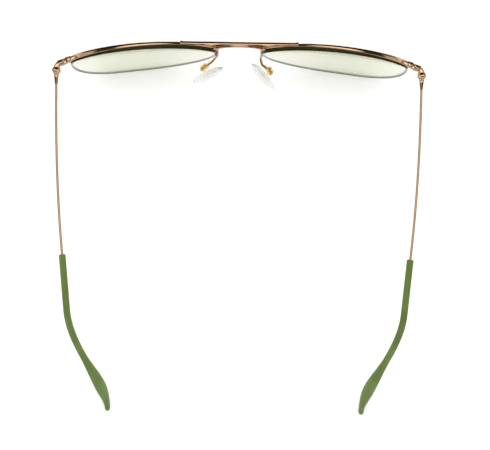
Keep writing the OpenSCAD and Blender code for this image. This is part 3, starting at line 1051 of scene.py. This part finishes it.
def face_matrix(side):
    """Puts a shape on a pad's face: x across it, y along it, z towards the nose."""
    return (pad_matrix(side) @ turned(-PAD_SKEW, "Z") @ turned(90, "Z") @ turned(90, "X")
            @ Matrix.Diagonal((1, 1, -1, 1)) @ Matrix.Translation((0, 0, PAD_REACH))
            @ turned(PAD_TIP, "Z") @ turned(PAD_LEAN, "Y"))


def pad_shape(side):
    """A soft drop shaped pad, crowned on both faces."""
    count = 40
    rings = []
    for a in turns(-84, 84, 18):
        share = cosd(a) ** 0.62
        height = 0.5 * PAD_T * signed_power(sind(a), 1.15)
        ring = []
        for k in range(count):
            c, s = cosd(360 * k / count), sind(360 * k / count)
            drop = 1 - PAD_DROP * s
            ring.append(Vector((share * PAD_W / 2 * signed_power(c, PAD_OVAL) * drop,
                                share * PAD_L / 2 * signed_power(s, PAD_OVAL), height)))
        rings.append(ring)
    poles = (Vector((0, 0, -0.5 * PAD_T)), Vector((0, 0, 0.5 * PAD_T)))
    return Shape().skin(rings, poles=poles).moved(face_matrix(side))


def core_shape(side):
    """The hard core: an eye on the screw, a stem and an oval plate."""
    reach = PAD_REACH / cosd(PAD_SKEW) - 0.2
    bore, half, cut = PAD_SCREW_R + 0.05, PAD_EYE_HALF, 0.1
    eye = lathe([(bore, -half), (PAD_EYE_R - cut, -half), (PAD_EYE_R, cut - half), (PAD_EYE_R, half - cut),
                 (PAD_EYE_R - cut, half), (bore, half)])
    stem = lathe([(0, half), (PAD_STEM_R, half), (PAD_STEM_R, reach - 0.3), (PAD_STEM_R + 0.12, reach),
                  (0, reach)])
    across, along_it = 0.25 * PAD_W, 0.3 * PAD_L
    outline = [(across * signed_power(cosd(a), PAD_OVAL), along_it * signed_power(sind(a), PAD_OVAL))
               for a in turns(0, 360, 24)[:-1]]
    plate = slab(outline, -PAD_PLATE_HALF, PAD_PLATE_HALF, 0.2, 0.3)
    at = pad_matrix(side)
    return joined(
        eye.moved(at @ turned(90, "X")),
        stem.moved(at @ turned(-90, "Y")),
        plate.moved(face_matrix(side)))


def pad_box_shape():
    """A bored barrel round the pad's screw, with a waist. Its pocket is cut later."""
    half, barrel, waist, dip = PAD_BOX_L / 2, 0.55, 0.7, 0.055
    bore = PAD_SCREW_R + 0.01
    outer = fillet(PAD_BOX_R - barrel, barrel - half, barrel, -90, 0, 6)
    outer += [(PAD_BOX_R - dip * (1 + cosd(180 * y / waist)), y) for y in turns(-waist, waist, 14)]
    outer += fillet(PAD_BOX_R - barrel, half - barrel, barrel, 0, 90, 6)
    return lathe([(bore, -half)] + outer + [(bore, half)])


def pad_box(side):
    """The box with its pocket for the pad's eye, open towards the nose."""
    place = pad_matrix(side) @ turned(90, "X")
    width, height, wall = PAD_EYE_R + 0.07, PAD_SLOT / 2, 0.35
    pocket = block((-2 * PAD_BOX_R, -width, -height), (PAD_BOX_R - wall, width, height))
    thing = make(f"{side}_pad_box_made", pad_box_shape().moved(place), side, [YELLOW_GOLD])
    carve(thing, pocket.moved(flip_matrix(side) @ place))
    settle(thing, f"{side}_pad_box", "front")


def pad_screw(side):
    """The screw that the pad rocks about."""
    top = pad_matrix(side) @ Matrix.Translation((0, PAD_BOX_L / 2, 0)) @ turned(-90, "X")
    screw(side, "pad_screw", top, (PAD_SCREW_R, PAD_BOX_L), (1.05, 0.7), 50, YELLOW_GOLD)


def arm_shape(side):
    """A bent wire from the rim to the pad's box, thicker where it meets the box."""
    at = pad_matrix(side).translation
    route = [on_lens(-28.8, 3, 1.05), Vector((8.6, -69.3, 26.5))]
    route.append(Vector((at.x - ARM_BULGE[side], -68.1, 26)))
    route += [at + Vector(step) for step in ((-2.6, -2.2, -1.6), (-1.6, -1.4, -0.8), (-0.9, -0.8, -0.2))]
    smooth = spline(route, 6)
    sizes = [(ARM_R + 0.3 * share ** 3, ARM_R + 0.1 * share ** 3) for share in turns(0, 1, len(smooth) - 1)]
    return tube(smooth, sizes, 20)


# ---------------------------------------------------------------- every piece on its body

def plain_pieces(side):
    """The pieces that are one shape of one material."""
    temple, pad = f"{side}_temple", f"{side}_pad"
    pieces = [
        ("rim", rim_shape(), ROSE_GOLD, "front", "rose_gold"),
        ("rim_liner", liner_shape(), NYLON, "front", "clear_nylon"),
        ("lens_cord", cord_shape(), NYLON, "front", "clear_nylon"),
        ("end_piece", end_piece_shape(), ROSE_GOLD, "front", "rose_gold"),
        ("front_hinge", front_hinge_shape(), ROSE_GOLD, "front", "rose_gold"),
        ("temple_hinge", temple_hinge_shape(), ROSE_GOLD, temple, "rose_gold"),
        ("temple_wire", temple_wire_shape(), ROSE_GOLD, temple, "rose_gold"),
        ("temple_tip", temple_tip_shape(), SLEEVE, temple, "tip_sleeve"),
        ("pad_arm", arm_shape(side), ROSE_GOLD, "front", "rose_gold"),
        ("pad_core", core_shape(side), PAD_CORE, pad, "pad_core"),
        ("nose_pad", pad_shape(side), SILICONE, pad, "pad_silicone"),
    ]
    for node, shape, material, body, slot in pieces:
        settle(make(f"{side}_{node}_made", shape, side, [material]), f"{side}_{node}", body)


for side in (LEFT, RIGHT):
    lens(side)
    plain_pieces(side)
    end_screw(side)
    hinge_screw(side)
    pad_box(side)
    pad_screw(side)

settle(make("top_bar_made", bar_shape(), LEFT, [ROSE_GOLD]), "top_bar", "front")
settle(make("lower_bridge_made", bridge_shape(), LEFT, [ROSE_GOLD]), "lower_bridge", "front")
